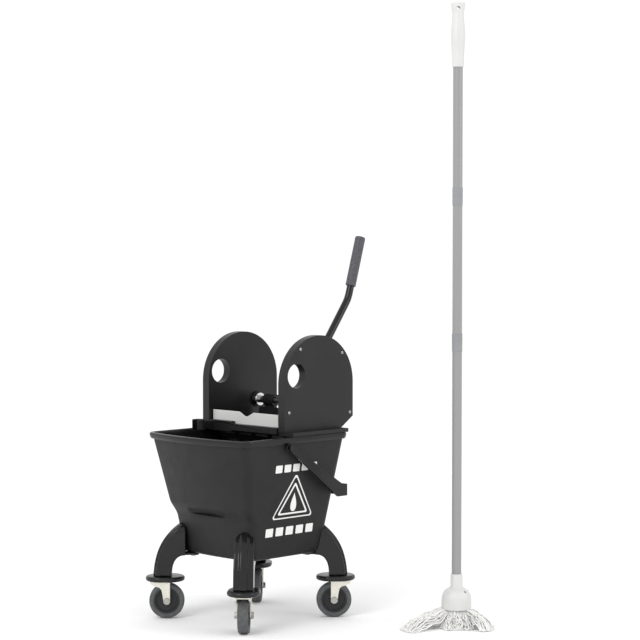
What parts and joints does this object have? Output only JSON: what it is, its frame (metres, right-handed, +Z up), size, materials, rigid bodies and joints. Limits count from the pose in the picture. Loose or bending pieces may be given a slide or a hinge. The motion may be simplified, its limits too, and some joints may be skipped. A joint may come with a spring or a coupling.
{
  "type": "mop bucket with wringer and mop",
  "caption": "Tapered mop bucket on swivel casters with a lift-off side-press lever wringer and carrying bail, and a string mop standing beside it.",
  "frame": {"origin": "on the floor, midway between the four caster stems of the bucket", "axes": "+Z up; +X towards the wringer end and the lever; the mop stands on the -Y side"},
  "size_m": [0.5103, 0.6302, 1.298],
  "materials": {
    "tub": "moulded polypropylene, fine matte grain",
    "leg": "moulded plastic, glossy",
    "bumper": "moulded soft plastic, satin",
    "zinc": "zinc plated steel",
    "fork_zinc": "pressed zinc plated steel",
    "wheel_hub": "moulded plastic",
    "tyre": "grey thermoplastic rubber",
    "bail": "moulded plastic strap",
    "wringer_body": "moulded plastic, satin",
    "front_plate": "light grey plate, smooth",
    "bush": "black acetal",
    "spring_steel": "spring steel",
    "axle_steel": "ground steel rod",
    "chrome": "chrome plated",
    "lever_paint": "gloss black powder coat",
    "lever_grip": "textured grip sleeve",
    "mop_plastic": "white moulded plastic",
    "mop_yarn": "looped cotton blend yarn",
    "mop_pole": "grey coated tube",
    "mop_coupler": "grey coupling sleeve"
  },
  "bodies": {
    "bucket": {"tub": "tub", "leg_screws": "zinc", "bail_pins": "bail", "leg_front_near": "leg", "leg_front_far": "leg", "leg_rear_near": "leg", "leg_rear_far": "leg", "bumper_front_near": "bumper", "bumper_front_far": "bumper", "bumper_rear_near": "bumper", "bumper_rear_far": "bumper", "caster_stem_front_near": "zinc", "caster_stem_front_far": "zinc", "caster_stem_rear_near": "zinc", "caster_stem_rear_far": "zinc"},
    "caster_front_near": {"caster_fork_front_near": "fork_zinc", "axle_bolt_front_near": "zinc"},
    "wheel_front_near": {"wheel_hub_front_near": "wheel_hub", "tyre_front_near": "tyre"},
    "caster_front_far": {"caster_fork_front_far": "fork_zinc", "axle_bolt_front_far": "zinc"},
    "wheel_front_far": {"wheel_hub_front_far": "wheel_hub", "tyre_front_far": "tyre"},
    "caster_rear_near": {"caster_fork_rear_near": "fork_zinc", "axle_bolt_rear_near": "zinc"},
    "wheel_rear_near": {"wheel_hub_rear_near": "wheel_hub", "tyre_rear_near": "tyre"},
    "caster_rear_far": {"caster_fork_rear_far": "fork_zinc", "axle_bolt_rear_far": "zinc"},
    "wheel_rear_far": {"wheel_hub_rear_far": "wheel_hub", "tyre_rear_far": "tyre"},
    "bail": {"bail": "bail"},
    "wringer": {"basket": "wringer_body", "front_plate": "front_plate", "clip_bar": "wringer_body", "cheek_near": "wringer_body", "cheek_far": "wringer_body", "cover_near": "wringer_body", "cover_far": "wringer_body", "cover_screws": "zinc", "ledge_screws": "zinc", "axle_bushes": "bush", "return_springs": "spring_steel"},
    "lever": {"cross_axle": "axle_steel", "axle_collars": "chrome", "stop_arms": "spring_steel", "press_plate": "wringer_body", "press_screws": "zinc", "lever_socket": "lever_paint", "lever_tube": "lever_paint", "lever_bolt": "zinc", "lever_grip": "lever_grip"},
    "mop": {"mop_bell": "mop_plastic", "mop_yarn": "mop_yarn", "mop_pole_lower": "mop_pole", "mop_pole_middle": "mop_pole", "mop_pole_upper": "mop_pole", "mop_coupler_lower": "mop_coupler", "mop_coupler_upper": "mop_coupler", "mop_grip": "mop_plastic"}
  },
  "joints": [
    {"name": "swivel_front_near", "type": "hinge", "parent": "bucket", "child": "caster_front_near", "pos_m": [-0.138, -0.1275, 0.07], "axis": [0, 0, 1], "continuous": true},
    {"name": "swivel_front_far", "type": "hinge", "parent": "bucket", "child": "caster_front_far", "pos_m": [-0.138, 0.1275, 0.07], "axis": [0, 0, 1], "continuous": true},
    {"name": "swivel_rear_near", "type": "hinge", "parent": "bucket", "child": "caster_rear_near", "pos_m": [0.138, -0.1275, 0.07], "axis": [0, 0, 1], "continuous": true},
    {"name": "swivel_rear_far", "type": "hinge", "parent": "bucket", "child": "caster_rear_far", "pos_m": [0.138, 0.1275, 0.07], "axis": [0, 0, 1], "continuous": true},
    {"name": "roll_front_near", "type": "hinge", "parent": "caster_front_near", "child": "wheel_front_near", "pos_m": [-0.13139, -0.12139, 0.0375], "axis": [0.6786, -0.7345, 0], "continuous": true},
    {"name": "roll_front_far", "type": "hinge", "parent": "caster_front_far", "child": "wheel_front_far", "pos_m": [-0.13139, 0.12139, 0.0375], "axis": [-0.6786, -0.7345, 0], "continuous": true},
    {"name": "roll_rear_near", "type": "hinge", "parent": "caster_rear_near", "child": "wheel_rear_near", "pos_m": [0.13139, -0.12139, 0.0375], "axis": [0.6786, 0.7345, 0], "continuous": true},
    {"name": "roll_rear_far", "type": "hinge", "parent": "caster_rear_far", "child": "wheel_rear_far", "pos_m": [0.13139, 0.12139, 0.0375], "axis": [-0.6786, 0.7345, 0], "continuous": true},
    {"name": "bail_swing", "type": "hinge", "parent": "bucket", "child": "bail", "pos_m": [-0.033, 0, 0.378], "axis": [0, -1, 0], "range_deg": [0, 36]},
    {"name": "wringer_lift", "type": "slide", "parent": "bucket", "child": "wringer", "axis": [0, 0, 1], "range_m": [0, 0.25]},
    {"name": "lever_press", "type": "hinge", "parent": "wringer", "child": "lever", "pos_m": [0.1205, 0, 0.456], "axis": [0, 1, 0], "range_deg": [0, 55], "stiffness_Nm_per_rad": 1.4, "springref_deg": -68.75},
    {"name": "mop_lift", "type": "slide", "parent": "bucket", "child": "mop", "axis": [0, 0, 1], "range_m": [0, 0.3]}
  ]
}
